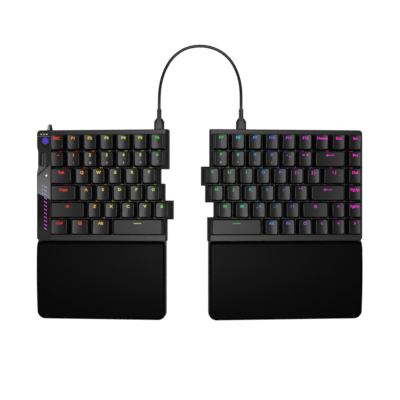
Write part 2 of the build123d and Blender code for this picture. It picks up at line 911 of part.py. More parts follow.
def roller_encoder():
    """The encoder in front of the roller and the bearing post behind it, on the board."""
    x, y = roller_place
    reach = roller_length / 2 + roller_gap + encoder_length / 2
    with BuildPart() as encoder:
        with BuildSketch(left.deck.offset(board_top)):
            with Locations((x, y - reach), (x, y + reach)):
                Rectangle(encoder_width, encoder_length)
        extrude(amount=roller_axis_height + encoder_cap - board_top)
        with BuildSketch(left.across_plane(x, y, roller_axis_height)):
            Circle(roller_axle_radius + axle_clearance)
        extrude(amount=roller_length / 2 + roller_axle_reach + fit, both=True, mode=Mode.SUBTRACT)
    return encoder.part


def loop_tag():
    """A ribbon folded on itself, its two ends held in the rear wall."""
    length = tag_root + tag_reach
    side = Plane(origin=left.at(tag_place, rear_edge - tag_root, tag_height),
                 x_dir=left.deck.y_dir, z_dir=left.deck.x_dir)
    outer = 2 * tag_thickness + tag_gap
    with BuildPart() as tag:
        with BuildSketch(side):
            SlotOverall(2 * length, outer)
            SlotOverall(2 * (length - tag_thickness), tag_gap, mode=Mode.SUBTRACT)
            Rectangle(length, outer, align=(Align.MAX, Align.CENTER), mode=Mode.SUBTRACT)
        extrude(amount=tag_width / 2, both=True)
        with BuildSketch(left.deck):
            with BuildLine():
                Polyline(
                    (tag_place - tag_width / 2, rear_edge - tag_root),
                    (tag_place + tag_width / 2, rear_edge - tag_root),
                    (tag_place + tag_width / 2, rear_edge),
                    (tag_place + tag_end_width / 2, rear_edge + tag_reach),
                    (tag_place - tag_end_width / 2, rear_edge + tag_reach),
                    (tag_place - tag_width / 2, rear_edge),
                    close=True,
                )
            make_face()
        extrude(amount=case_height, mode=Mode.INTERSECT)
    return tag.part


def battery():
    x, y = (share * unit for share in battery_place_shares)
    with BuildPart() as cell:
        with BuildSketch(left.deck.offset(floor_thickness)):
            with Locations((x, y)):
                RectangleRounded(battery_width, battery_depth, battery_corner)
        extrude(amount=battery_thickness)
    return cell.part


# Link cable

def rear_plane(half, y):
    """A plane that faces backwards through the middle of the half's socket."""
    return Plane(origin=half.at(half.port_x, y, port_middle_height),
                 x_dir=-half.deck.x_dir, z_dir=half.deck.y_dir)


def socket(half):
    """The socket on the board: a shell closed at the back of its mouth, with a tongue."""
    mouth = rear_edge - port_recess
    with BuildPart() as shell:
        with BuildSketch(rear_plane(half, mouth - port_length)):
            RectangleRounded(port_width, port_height, port_corner)
        extrude(amount=port_length)
        with BuildSketch(rear_plane(half, mouth)):
            RectangleRounded(port_width - 2 * port_wall, port_height - 2 * port_wall,
                             port_corner - port_wall)
        extrude(amount=-(port_length - port_wall), mode=Mode.SUBTRACT)
        with BuildSketch(rear_plane(half, mouth - port_length)):
            Rectangle(tongue_width, tongue_thickness)
        extrude(amount=port_wall + tongue_length)
    return shell.part


def link_plug(half):
    """A moulded plug with its ribbed strain relief, and the metal shell in the socket."""
    start = rear_edge + plug_gap
    with BuildPart() as body:
        with BuildSketch(rear_plane(half, start)):
            RectangleRounded(plug_width, plug_height, plug_corner)
        extrude(amount=plug_length)
        with BuildSketch(rear_plane(half, start + plug_length)):
            RectangleRounded(plug_width - 2 * fit, plug_height - 2 * fit, plug_corner - fit)
        with BuildSketch(rear_plane(half, start + plug_length + plug_taper)):
            RectangleRounded(plug_neck_width, plug_neck_height, plug_neck_corner)
        loft()
        relief = start + plug_length + plug_taper
        with BuildSketch(rear_plane(half, relief)):
            Circle(relief_radius)
        extrude(amount=relief_ribs * relief_pitch)
        for rib in range(relief_ribs):
            with BuildSketch(rear_plane(half, relief + (rib + 1) * relief_pitch - relief_rib)):
                Circle(relief_rib_radius)
            extrude(amount=relief_rib)
    with BuildPart() as shell:
        with BuildSketch(rear_plane(half, start)):
            RectangleRounded(plug_shell_width, plug_shell_height, plug_shell_corner)
        extrude(amount=-plug_shell_reach)
        with BuildSketch(rear_plane(half, start)):
            RectangleRounded(plug_shell_width - 2 * plug_shell_wall,
                             plug_shell_height - 2 * plug_shell_wall, plug_shell_corner - plug_shell_wall)
        extrude(amount=-plug_shell_reach, mode=Mode.SUBTRACT)
    return group(body.part, shell.part)


def link_cable():
    """The cable between the plugs: straight runs joined by arcs as large as the runs allow."""
    points = [Vector(*point) for point in cable_route]
    radii = []
    for before, here, after in zip(points, points[1:], points[2:]):
        run = min((here - before).length, (after - here).length)
        turn = radians((here - before).get_angle(after - here))
        radii.append(cable_bend_share * run / tan(turn / 2))
    print("cable radii", [round(radius, 1) for radius in radii])
    with BuildPart() as cable:
        with BuildLine() as path:
            FilletPolyline(*points, radius=radii)
        with BuildSketch(Plane(origin=points[0], z_dir=points[1] - points[0])):
            Circle(cable_radius)
        sweep(path=path.line)
    length = sum(edge.length for edge in path.edges())
    area = cable.part.volume / length
    print("cable length", round(length, 1))
    print("cable section", round(area, 2), "of", round(pi * cable_radius ** 2, 2))
    return cable.part


# Palm rests

def palm_base(half):
    deck = half.deck
    block, hollow = leg_well(half, palm_middle, palm_leg_width)
    with BuildPart() as base:
        with BuildSketch(deck):
            add(palm_outline(half))
        extrude(amount=palm_base_height)
        chamfer(base.faces().sort_by(half.up)[0].edges(), length=bottom_bevel)
        add(hollow, mode=Mode.SUBTRACT)
    return base.part


def palm_pad(half):
    """The pad: crowned from front to back, with a rolled edge."""
    deck = half.deck
    rear = palm_rear - palm_reveal
    front = palm_front + palm_reveal
    centre = half.at((half.outer + half.inner[-1]) / 2, 0, 0)
    side = Plane(origin=centre, x_dir=half.deck.y_dir, z_dir=half.deck.x_dir)
    with BuildPart() as pad:
        with BuildSketch(deck.offset(palm_base_height)):
            add(palm_outline(half, palm_reveal))
        extrude(amount=palm_middle_height)
        with BuildSketch(side):
            with BuildLine():
                crown = ThreePointArc(
                    (front - overrun, palm_front_height),
                    (palm_middle, palm_middle_height),
                    (rear + overrun, palm_rear_height),
                )
                Polyline(crown @ 1, (rear + overrun, 0), (front - overrun, 0), crown @ 0)
            make_face()
        extrude(amount=half.reach, both=True, mode=Mode.INTERSECT)
        fillet(pad.faces().sort_by(half.up)[-1].edges(), radius=palm_edge)
    return pad.part


os.makedirs("parts", exist_ok=True)
for half in halves:
    save(top_case(half), f"{half.side}_top_case")
    save(bottom_case(half), f"{half.side}_bottom_case")
    save(switch_plate(half), f"{half.side}_switch_plate")
    save(circuit_board(half), f"{half.side}_circuit_board")
    save(switches(half), f"{half.side}_switches")
    save(case_screws(half), f"{half.side}_case_screws")
    save(feet(half, rear_edge, -front_strip, True), f"{half.side}_case_feet")
    save(tilt_leg(half, block_depth / 2, leg_width), f"{half.side}_tilt_leg")
    save(socket(half), f"{half.side}_link_socket")
    save(link_plug(half), f"{half.side}_link_plug")
    save(palm_base(half), f"{half.side}_palm_base")
    save(palm_pad(half), f"{half.side}_palm_pad")
    save(feet(half, palm_rear, palm_front, False), f"{half.side}_palm_feet")
    save(tilt_leg(half, palm_middle, palm_leg_width), f"{half.side}_palm_leg")
    for node in dict.fromkeys(key.node for key in half.keys):
        save(key_group(half, node), node)
save(indicator_panel(), "indicator_panel")
save(light_guides(), "light_guides")
save(control_roller(), "control_roller")
save(roller_encoder(), "roller_encoder")
save(loop_tag(), "loop_tag")
save(battery(), "battery")
save(link_cable(), "link_cable")
plug_reach = plug_gap + plug_length + plug_taper + relief_ribs * relief_pitch
for half in halves:
    print(half.side, "cable leaves at", half.at(half.port_x, rear_edge + plug_reach, port_middle_height))
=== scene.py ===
import bmesh
import bpy
from math import cos, pi, radians, sin, sqrt, tan
from mathutils import Matrix, Vector


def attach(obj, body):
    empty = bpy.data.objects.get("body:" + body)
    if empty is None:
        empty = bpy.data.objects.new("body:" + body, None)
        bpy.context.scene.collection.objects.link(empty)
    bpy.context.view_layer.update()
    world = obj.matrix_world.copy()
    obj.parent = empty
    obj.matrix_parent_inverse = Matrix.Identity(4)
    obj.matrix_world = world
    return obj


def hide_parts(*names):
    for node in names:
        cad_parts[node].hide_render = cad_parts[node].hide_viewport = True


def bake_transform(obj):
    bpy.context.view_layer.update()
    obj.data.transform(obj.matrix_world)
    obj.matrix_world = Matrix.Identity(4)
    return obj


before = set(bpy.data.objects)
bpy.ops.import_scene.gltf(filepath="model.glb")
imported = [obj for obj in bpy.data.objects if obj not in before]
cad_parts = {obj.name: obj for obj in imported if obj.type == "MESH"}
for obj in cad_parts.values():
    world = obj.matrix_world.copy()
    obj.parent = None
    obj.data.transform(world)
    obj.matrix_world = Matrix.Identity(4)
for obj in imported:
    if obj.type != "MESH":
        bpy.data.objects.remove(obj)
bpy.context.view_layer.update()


# Camera and studio
# The photograph looks straight down on the desk from about 0.8 m. One soft lamp hangs above the
# camera, so that each surface shines where it leans towards the middle of the keyboard. The white
# surround lights the sides a little.

scene = bpy.context.scene
scene.view_settings.view_transform = "Standard"
camera_height = 0.790
focal_pixels = 675.4
image_pixels = 400
sensor_width = 36.0
camera_data = bpy.data.cameras.new("camera")
camera_data.sensor_width = sensor_width
camera_data.lens = sensor_width * focal_pixels / image_pixels
camera_data.clip_start = 0.01
camera = bpy.data.objects.new("camera", camera_data)
camera.location = (0.0004, 0.0253, camera_height)
scene.collection.objects.link(camera)
scene.camera = camera

lamp_data = bpy.data.lights.new("overhead_lamp", "AREA")
lamp_data.shape = "RECTANGLE"
lamp_data.size, lamp_data.size_y = 0.55, 0.55
lamp_data.energy = 13
overhead_lamp = bpy.data.objects.new("overhead_lamp", lamp_data)
overhead_lamp.location = (-0.02, 0.03, 1.25)
scene.collection.objects.link(overhead_lamp)


class Wire:
    """A socket of a node tree: sums on it add Math nodes, and node() adds a node of any other type."""

    def __init__(self, tree, socket=None):
        self.tree, self.socket = tree, socket

    def node(self, kind, sockets=(), output=0, stops=(), **settings):
        """Adds a node: first its settings, then the values or wires of its sockets."""
        made = self.tree.nodes.new(kind)
        for name, value in settings.items():
            setattr(made, name, value)
        if stops:
            ramp = made.color_ramp
            ramp.elements[0].position, ramp.elements[1].position = stops[0][0], stops[-1][0]
            for place, colour in stops[1:-1]:
                ramp.elements.new(place)
            for element, (place, colour) in zip(ramp.elements, stops):
                element.color = (*colour, 1)
        for name, value in dict(sockets).items():
            if isinstance(value, Wire):
                self.tree.links.new(value.socket, made.inputs[name])
            else:
                made.inputs[name].default_value = value
        return Wire(self.tree, made.outputs[output] if len(made.outputs) else None)

    def output(self, name):
        """Another output of the node that this wire comes from."""
        return Wire(self.tree, self.socket.node.outputs[name])

    def sum(self, operation, first, second=0.0, clamp=False):
        """A Math node on two wires or values."""
        return self.node("ShaderNodeMath", {0: first, 1: second}, operation=operation, use_clamp=clamp)

    def __add__(self, other):
        return self.sum("ADD", self, other)

    def __sub__(self, other):
        return self.sum("SUBTRACT", self, other)

    def __rsub__(self, other):
        return self.sum("SUBTRACT", other, self)

    def __mul__(self, other):
        return self.sum("MULTIPLY", self, other)

    def __gt__(self, other):
        return self.sum("GREATER_THAN", self, other)

    def __lt__(self, other):
        return self.sum("LESS_THAN", self, other)

    __radd__ = __add__
    __rmul__ = __mul__

    def mix(self, share, first, second):
        """A colour between two others."""
        ends = [(*end, 1) if isinstance(end, (tuple, list)) else end for end in (first, second)]
        return self.node("ShaderNodeMix", {0: share, 6: ends[0], 7: ends[1]}, output=2, data_type="RGBA")

    def surface(self, sockets):
        """Ends a material in the shader of these sockets."""
        shader = self.node("ShaderNodeBsdfPrincipled", sockets)
        self.node("ShaderNodeOutputMaterial", {"Surface": shader})

    def clamped(self):
        """The same value, kept between 0 and 1."""
        return self.sum("ADD", self, 0.0, clamp=True)

    def points(self):
        """The points of the surface in the keyboard's frame, in metres."""
        return self.node("ShaderNodeTexCoord", output="Object")

    def wave(self, pitch):
        """A sine of that pitch in metres, from -1 to 1."""
        return self.sum("SINE", self * (2 * pi / pitch))

    def xyz(self):
        """The three parts of a vector."""
        split = self.node("ShaderNodeSeparateXYZ", {0: self})
        return [split.output(axis) for axis in "XYZ"]


def start_material(name):
    """An empty material, and the start of its node tree."""
    material = bpy.data.materials.new(name)
    material.use_nodes = True
    material.node_tree.nodes.clear()
    return material, Wire(material.node_tree)


world = bpy.data.worlds.new("studio")
scene.world = world
world.use_nodes = True
world.node_tree.nodes.clear()
sky = Wire(world.node_tree)
rays = sky.node("ShaderNodeLightPath", output="Is Camera Ray")
open_share = (rays + rays.output("Is Transmission Ray") + rays.output("Is Glossy Ray") * 0.2
              + rays.output("Is Diffuse Ray") * 0.5).clamped()
sky_glow = sky.node("ShaderNodeBackground", {"Color": (1, 1, 1, 1), "Strength": open_share})
sky.node("ShaderNodeOutputWorld", {"Surface": sky_glow})

desk_material, desk = start_material("white_desk")
rays = desk.node("ShaderNodeLightPath", output="Is Camera Ray")
desk_paint = desk.node("ShaderNodeBsdfDiffuse", {"Color": (0.16, 0.16, 0.16, 1)})
desk_share = (rays + rays.output("Is Glossy Ray") * 0.2 + rays.output("Is Transmission Ray")).clamped()
desk_glow = desk.node("ShaderNodeEmission", {"Color": (1, 1, 1, 1), "Strength": desk_share * 0.9})
desk_white = desk.node("ShaderNodeAddShader", {0: desk_paint, 1: desk_glow})
desk_below = desk.node("ShaderNodeNewGeometry", output="Backfacing")
desk_shade = desk.node("ShaderNodeMixShader", {0: desk_below, 1: desk_white,
                                               2: desk.node("ShaderNodeBsdfTransparent")})
desk.node("ShaderNodeOutputMaterial", {"Surface": desk_shade})
desk_reach = 3.0
desk_height = -0.0001
desk_mesh = bpy.data.meshes.new("desk")
desk_mesh.from_pydata([(x * desk_reach, y * desk_reach, desk_height)
                       for x, y in ((-1, -1), (1, -1), (1, 1), (-1, 1))], [], [(0, 1, 2, 3)])
desk_mesh.materials.append(desk_material)
desk_top = bpy.data.objects.new("desk", desk_mesh)
scene.collection.objects.link(desk_top)


# Link cable
# A short round cable in a matt black rubbery jacket joins the two halves. It leaves a moulded plug
# at the back of each half, drops to the desk and lies there in one wide arch.

mm = 0.001
cable_diameter = 3.5 * mm
cable_route = [
    (-46.05, 128.65, 20.76), (-46.05, 139.5, 20.76), (-45.8, 151.0, 16.6), (-44.3, 163.5, 10.0),
    (-40.0, 177.8, 4.6), (-32.4, 190.9, 2.2), (-21.1, 200.0, 1.95), (-10.9, 203.9, 1.9),
    (0.6, 205.2, 1.95), (12.2, 203.9, 1.9), (25.0, 198.7, 1.95), (36.4, 188.5, 2.2),
    (43.6, 174.1, 5.0), (46.6, 160.3, 11.0), (47.3, 148.7, 17.4), (47.2, 138.9, 20.67),
    (47.2, 128.65, 20.67),
]


def plain(maker, name):
    """Turns what a maker object shows into a plain mesh piece, and removes the maker."""
    bpy.context.view_layer.update()
    mesh = bpy.data.meshes.new_from_object(maker.evaluated_get(bpy.context.evaluated_depsgraph_get()))
    bpy.data.objects.remove(maker)
    piece = bpy.data.objects.new(name, mesh)
    scene.collection.objects.link(piece)
    return piece


def smooth_line(points, name, thickness=0):
    """A smooth spline through the route, round and closed at its ends if it has a thickness."""
    data = bpy.data.curves.new(name, "CURVE")
    data.dimensions = "3D"
    spline = data.splines.new("NURBS")
    spline.points.add(len(points) - 1)
    for control, place in zip(spline.points, points):
        control.co = (*[value * mm for value in place], 1)
    spline.order_u = 3
    spline.use_endpoint_u = True
    data.resolution_u = 10
    data.bevel_depth = thickness / 2
    data.bevel_resolution = 5
    data.use_fill_caps = True
    made = bpy.data.objects.new(name, data)
    scene.collection.objects.link(made)
    return plain(made, name)


def grained(name, colour, roughness, grain=0.25 * mm, relief=0.02 * mm, mottle=0.12, **sockets):
    """Plastic, rubber or metal with a fine grain, and slow change in its shade and its gloss."""
    material, wire = start_material(name)
    points = wire.points()
    fine = wire.node("ShaderNodeTexNoise", {"Vector": points, "Scale": 1 / grain, "Detail": 3.0})
    slow = wire.node("ShaderNodeTexNoise", {"Vector": points, "Scale": 45.0, "Detail": 2.0})
    shade = wire.mix(slow, [c * (1 - mottle) for c in colour], [c * (1 + mottle) for c in colour])
    bump = wire.node("ShaderNodeBump", {"Height": fine, "Distance": relief, "Strength": 1.0})
    names = {key: key.replace("_", " ").title().replace("Ior", "IOR") for key in sockets}
    wire.surface({"Base Color": shade, "Roughness": (slow - 0.5) * 0.1 + roughness, "Normal": bump,
                  **{names[key]: value for key, value in sockets.items()}})
    return material


def paint(material, *names):
    """Gives the CAD nodes of these names their finish."""
    for name in names:
        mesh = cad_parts[name].data
        mesh.materials.clear()
        mesh.materials.append(material)


def wear(piece, material, body, slot, *replaced):
    """Finishes a piece: its material, the body it moves with and the node it stands for. The slot is not
    used.
    """
    piece.data.materials.clear()
    piece.data.materials.append(material)
    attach(piece, body)
    if replaced:
        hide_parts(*replaced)


jacket = grained("cable_jacket", (0.006, 0.006, 0.0065), 0.46, grain=0.4 * mm, relief=0.015 * mm)
line = smooth_line(cable_route, "cable_line")
bpy.data.objects.remove(line)
cable = smooth_line(cable_route, "link_cable_jacket", cable_diameter)
cable.data.materials.append(jacket)
cable.data.shade_smooth()
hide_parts("link_cable")
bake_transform(cable)


# Plugs of the cable
# Each plug is one soft black moulding with sloping flanks and a flat tapered face, which runs out
# in a ribbed strain relief. Its plated shell sits in the socket of the half.

slope = radians(4.8)


class Deck:
    """One half's tilted plane. Its points are in millimetres: x along the rows, y to the back, z up."""

    def __init__(self, side, inward, origin):
        self.side, self.inward = side, inward
        self.body = side + "_half"
        self.matrix = (Matrix.Translation(Vector(origin) * mm) @ Matrix.Rotation(-inward * slope, 4, "Y")
                       @ Matrix.Scale(mm, 4))

    def piece(self, name, points, faces, smooth=0.6):
        """A closed mesh piece from points of the deck, smooth where its faces meet at a low angle."""
        mesh = bpy.data.meshes.new(name)
        mesh.from_pydata([self.matrix @ Vector(point) for point in points], [], faces)
        shape = bmesh.new()
        shape.from_mesh(mesh)
        bmesh.ops.recalc_face_normals(shape, faces=shape.faces)
        shape.to_mesh(mesh)
        shape.free()
        mesh.shade_smooth()
        mesh.set_sharp_from_angle(angle=smooth)
        made = bpy.data.objects.new(name, mesh)
        scene.collection.objects.link(made)
        return made


left = Deck("left", 1, (-168.2415, -14.5, 2.3757))
right = Deck("right", -1, (11.9405, -14.5, 15.5006))
decks = (left, right)
case_top = 17.0
unit = 19.05
block_depth = 6 * unit
rear_edge = block_depth + 5.3


def loft(rings):
    """Points and faces of a closed skin over rings that have equally many points."""
    points = [point for ring in rings for point in ring]
    count = len(rings[0])
    faces = [tuple(range(count))[::-1], tuple(range(len(points) - count, len(points)))]
    for low in range(0, len(points) - count, count):
        for index in range(count):
            step = (index + 1) % count
            faces.append((low + index, low + step, low + count + step, low + count + index))
    return points, faces


def joined(*skins):
    """Several skins as one list of points and one of faces."""
    points, faces = [], []
    for more_points, more_faces in skins:
        faces += [tuple(index + len(points) for index in face) for face in more_faces]
        points += more_points
    return points, faces


def round_ring(x, y, z, radius, sides=24):
    """A circle square to the y axis."""
    return [(x + radius * cos(2 * pi * index / sides), y, z + radius * sin(2 * pi * index / sides))
            for index in range(sides)]


def plug_ring(x, y, z, width, height, face):
    """A plug's section: a flat face above and below, with sloping flanks between them."""
    half, low, flat = width / 2, height / 2, face / 2
    side = low * 0.28
    return [(x + sx * across, y, z + sz * up) for sx, sz, across, up in
            ((1, -1, flat, low), (1, -1, half, side), (1, 1, half, side), (1, 1, flat, low),
             (-1, 1, flat, low), (-1, 1, half, side), (-1, -1, half, side), (-1, -1, flat, low))]


port_x = {"left": 123.3, "right": 34.7}
port_height = 8.1
plug_start = rear_edge + 0.3
plug_sections = ((0.0, 11.4, 6.0, 8.2), (0.3, 11.6, 6.2, 8.0), (8.6, 11.6, 6.2, 5.4), (9.6, 11.0, 6.0, 5.0),
                 (13.2, 6.2, 5.0, 4.2))
relief_start = plug_sections[-1][0]
rib_pitch, rib_count, rib_radius, groove_radius = 2.0, 5, 2.9, 2.25
# The plated shell, outside and inside: how far from the plug, how wide and how high
shell_sections = ((0, 8.2, 2.5), (-5.6, 8.2, 2.5), (-5.6, 7.6, 1.9), (-1, 7.6, 1.9))
moulding = grained("plug_moulding", (0.010, 0.010, 0.0105), 0.52, grain=0.3 * mm, relief=0.03 * mm)
shell_plating = grained("plated_shell", (0.55, 0.55, 0.57), 0.28, relief=0.004 * mm, metallic=1.0)
for deck in decks:
    x = port_x[deck.side]
    body = loft([plug_ring(x, plug_start + reach, port_height, width, height, face)
                 for reach, width, height, face in plug_sections])
    relief = []
    for rib in range(rib_count):
        y = plug_start + relief_start + rib * rib_pitch
        relief += [(y, groove_radius), (y + 0.85, groove_radius), (y + 1.0, rib_radius - 0.15),
                   (y + 1.15, rib_radius), (y + 1.85, rib_radius), (y + 2.0, rib_radius - 0.15)]
    relief = loft([round_ring(x, y, port_height, radius) for y, radius in relief])
    plug = deck.piece(f"{deck.side}_cable_plug", *joined(body, relief), smooth=0.5)
    wear(plug, moulding, deck.body, "plug_rubber", f"{deck.side}_link_plug")
    tube = []
    for y, width, height in shell_sections:
        half, low, corner = width / 2, height / 2, height * 0.3
        tube.append([(x + px, plug_start + y, port_height + pz) for px, pz in (
            (half, corner - low), (half, low - corner), (half - corner, low), (corner - half, low),
            (-half, low - corner), (-half, corner - low), (corner - half, -low), (half - corner, -low))])
    shell = deck.piece(f"{deck.side}_plug_shell", *loft(tube))
    wear(shell, shell_plating, deck.body, "socket_steel")
    paint(shell_plating, f"{deck.side}_link_socket")


# Trays, feet and screws
# The underside of each half is a moulded black tray. Black screws go up through it into the frame,
# and it stands on glued rubber feet, cut to the desk's plane at the outer edge.

tray_plastic = grained("tray_plastic", (0.020, 0.020, 0.021), 0.6, grain=0.35 * mm, relief=0.04 * mm)
foot_rubber = grained("foot_rubber", (0.040, 0.040, 0.041), 0.8, grain=0.5 * mm, relief=0.06 * mm)
screw_steel = grained("blackened_steel", (0.09, 0.09, 0.095), 0.35, relief=0.006 * mm, metallic=1.0)
for deck in decks:
    paint(tray_plastic, f"{deck.side}_bottom_case")
    paint(foot_rubber, f"{deck.side}_case_feet")


def tree_for(name, **inputs):
    """A Geometry Nodes tree with named inputs, a wire in it, and the wires of its inputs."""
    tree = bpy.data.node_groups.new(name, "GeometryNodeTree")
    kinds = {float: "NodeSocketFloat", int: "NodeSocketInt", tuple: "NodeSocketVector"}
    tree.interface.new_socket("Geometry", in_out="OUTPUT", socket_type="NodeSocketGeometry")
    tree.interface.new_socket("Geometry", in_out="INPUT", socket_type="NodeSocketGeometry")
    for key, kind in inputs.items():
        tree.interface.new_socket(key, in_out="INPUT", socket_type=kinds.get(kind, kind))
    wire = Wire(tree)
    start = wire.node("NodeGroupInput", output="Geometry")
    return tree, wire, {key: start.output(key) for key in ("Geometry", *inputs)}


def close_tree(wire, shape, material):
    """Ends a tree: its instances made real, in one material."""
    real = wire.node("GeometryNodeRealizeInstances", {0: shape})
    done = wire.node("GeometryNodeSetMaterial", {"Geometry": real, "Material": material})
    wire.node("NodeGroupOutput", {"Geometry": done})


def grown(name, tree, points, values, body, slot, *replaced, sharp=0.6):
    """A piece that a tree grows from points in the keyboard's frame."""
    mesh = bpy.data.meshes.new(name)
    mesh.from_pydata(points, [], [])
    maker = bpy.data.objects.new(name, mesh)
    scene.collection.objects.link(maker)
    modifier = maker.modifiers.new("grow", "NODES")
    modifier.node_group = tree
    for item in tree.interface.items_tree:
        if item.in_out == "INPUT" and item.name in values:
            modifier[item.identifier] = values[item.name]
    piece = plain(maker, name)
    piece.data.shade_smooth()
    piece.data.set_sharp_from_angle(angle=sharp)
    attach(piece, body)
    if replaced:
        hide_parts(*replaced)
    return piece


screw_tree, wire, given = tree_for("countersunk_screws", Head_Radius=float, Head_Height=float, Recess=float,
                                   Shank_Radius=float, Shank_Length=float, Turn=tuple,
                                   Finish="NodeSocketMaterial")
head = wire.node("GeometryNodeMeshCylinder", {"Vertices": 28, "Radius": given["Head_Radius"],
                                              "Depth": given["Head_Height"]})
recess = wire.node("GeometryNodeMeshCylinder", {"Vertices": 6, "Radius": given["Recess"],
                                                "Depth": given["Head_Height"]})
recess = wire.node("GeometryNodeTransform", {
    "Geometry": recess,
    "Translation": wire.node("ShaderNodeCombineXYZ", {"Z": given["Head_Height"] * -0.4})})
socket_head = wire.node("GeometryNodeMeshBoolean", {0: head, 1: recess}, operation="DIFFERENCE")
shank = wire.node("GeometryNodeMeshCylinder", {"Vertices": 20, "Radius": given["Shank_Radius"],
                                               "Depth": given["Shank_Length"]})
shank = wire.node("GeometryNodeTransform", {
    "Geometry": shank,
    "Translation": wire.node("ShaderNodeCombineXYZ",
                             {"Z": (given["Shank_Length"] + given["Head_Height"]) * 0.5})})
both = wire.node("GeometryNodeJoinGeometry")
for part in (socket_head, shank):
    wire.tree.links.new(part.socket, both.socket.node.inputs[0])
screws = wire.node("GeometryNodeInstanceOnPoints", {"Points": given["Geometry"], "Instance": both,
                                                    "Rotation": given["Turn"]})
close_tree(wire, screws, given["Finish"])
screw_head_height = 1.3
screw_reach = 14.0
screw_places = {
    "left": [(share * unit, rear_edge - 2.65) for share in (-0.6, 2.5, 5.0)]
    + [(share * unit, -3.35) for share in (-0.3, 3.2, 6.4)],
    "right": [(share * unit, y) for y in (rear_edge - 2.65, -3.35) for share in (0.3, 4.5, 8.7)],
}
for deck in decks:
    places = [deck.matrix @ Vector((x, y, screw_head_height / 2)) for x, y in screw_places[deck.side]]
    grown(f"{deck.side}_tray_screws", screw_tree, places,
          {"Head_Radius": 1.7 * mm, "Head_Height": screw_head_height * mm, "Recess": 0.85 * mm,
           "Shank_Radius": 0.95 * mm, "Shank_Length": (screw_reach - screw_head_height) * mm,
           "Turn": (0, -deck.inward * slope, 0), "Finish": screw_steel},
          deck.body, "screw_steel", f"{deck.side}_case_screws")


# Circuit boards and battery
# A black board lies on supports in each tray, with printed tracks under its lacquer. A flat cell in
# grey foil is glued to the floor of the left tray.

board_lacquer, wire = start_material("board_lacquer")
x, y, z = wire.points().xyz()
along_tracks = (x.wave(2.4 * mm) > 0.86) * (y.wave(14 * mm) > -0.2)
cross_tracks = (y.wave(3.1 * mm) > 0.9) * (x.wave(19 * mm) > 0.3)
tracks = along_tracks + cross_tracks
shade = wire.mix(tracks.clamped(), (0.006, 0.010, 0.008), (0.014, 0.026, 0.018))
bump = wire.node("ShaderNodeBump", {"Height": tracks, "Distance": 0.03 * mm, "Strength": 1.0})
wire.surface({"Base Color": shade, "Roughness": 0.34, "Normal": bump})
paint(board_lacquer, "left_circuit_board", "right_circuit_board")
cell_foil = grained("cell_foil", (0.20, 0.20, 0.215), 0.36, grain=1.6 * mm, relief=0.08 * mm, metallic=0.7)
paint(cell_foil, "battery")


# Switch plates and switches
# A stamped steel plate, painted black, carries the key switches. Each switch is a black housing
# with a small lamp behind it, which shines up between two rows of caps.

plate_paint = grained("plate_paint", (0.004, 0.004, 0.0042), 0.5, grain=0.3 * mm, relief=0.02 * mm)
switch_plastic = grained("switch_plastic", (0.006, 0.006, 0.007), 0.5, grain=0.3 * mm, relief=0.02 * mm)
plate_top = 11.5
paint(plate_paint, "left_switch_plate", "right_switch_plate")
paint(switch_plastic, "left_switches", "right_switches")

# Node, share of the pitch and legends of each run of keys, row by row from the back
layout = {
    "left": (
        (0, (("left_function_keys", 1, "ESC F1 F2 F3 F4 F5 F6"),)),
        (0, (("left_number_keys", 1, "`~ 1 2 3 4 5 6"),)),
        (0, (("tab_key", 1.5, "Tab"), ("left_upper_letter_keys", 1, "Q W E R T"))),
        (0, (("caps_lock_key", 1.75, "Caps"), ("left_home_letter_keys", 1, "A S D F G"))),
        (0, (("left_shift_key", 2.25, "shift"), ("left_lower_letter_keys", 1, "Z X C V B"))),
        (0, (("left_modifier_keys", 1.25, "Ctrl grid Alt"), ("left_space_bar", 3.125, "dash"))),
    ),
    "right": (
        (0, (("right_function_keys", 1, "F7 F8 F9 F10 F11 F12 Home End Ins"),)),
        (0, (("right_number_keys", 1, "7 8 9 0 -_ =+"), ("backspace_key", 2, "arrow"),
             ("right_number_keys", 1, "Prt"))),
        (-0.5, (("right_upper_letter_keys", 1, "Y U I O P [{ ]}"), ("backslash_key", 1.5, "\\|"),
                ("right_upper_letter_keys", 1, "Del"))),
        (-0.25, (("right_home_letter_keys", 1, "H J K L ;: '\""), ("enter_key", 2.25, "arrow"),
                 ("right_home_letter_keys", 1, "PgUp"))),
        (0.25, (("right_lower_letter_keys", 1, "N M ,< .> /?"), ("right_shift_key", 1.75, "shift"),
                ("up_arrow_key", 1, "up"), ("right_lower_letter_keys", 1, "PgDn"))),
        (-0.125, (("right_space_bar", 3.125, "dash"), ("right_command_keys", 1, "Alt Fn ring"),
                  ("left_arrow_key", 1, "lower"), ("down_arrow_key", 1, "down"),
                  ("right_arrow_key", 1, "higher"))),
    ),
}
keys = {side: [] for side in layout}
for side, rows in layout.items():
    for row, (edge, runs) in enumerate(rows):
        for node, share, legends in runs:
            for legend in legends.split():
                keys[side].append((node, row, (edge + share / 2) * unit, (5.5 - row) * unit, share, legend))
                edge += share

# The lamps run through the rainbow from the left to the right, a little slanted
rainbow = (
    (-0.175, (0.75, 0.02, 0.02)), (-0.155, (0.80, 0.05, 0.015)), (-0.144, (0.85, 0.28, 0.03)),
    (-0.128, (0.85, 0.50, 0.05)), (-0.106, (0.60, 0.70, 0.08)), (-0.070, (0.55, 0.72, 0.07)),
    (-0.050, (0.06, 0.55, 0.06)), (0.022, (0.04, 0.50, 0.10)), (0.042, (0.02, 0.45, 0.42)),
    (0.062, (0.02, 0.22, 0.65)), (0.082, (0.14, 0.11, 0.62)), (0.100, (0.42, 0.07, 0.62)),
    (0.122, (0.72, 0.025, 0.60)), (0.190, (0.85, 0.015, 0.50)),
)
rainbow_slant = 0.19
rear_row_y = 0.095


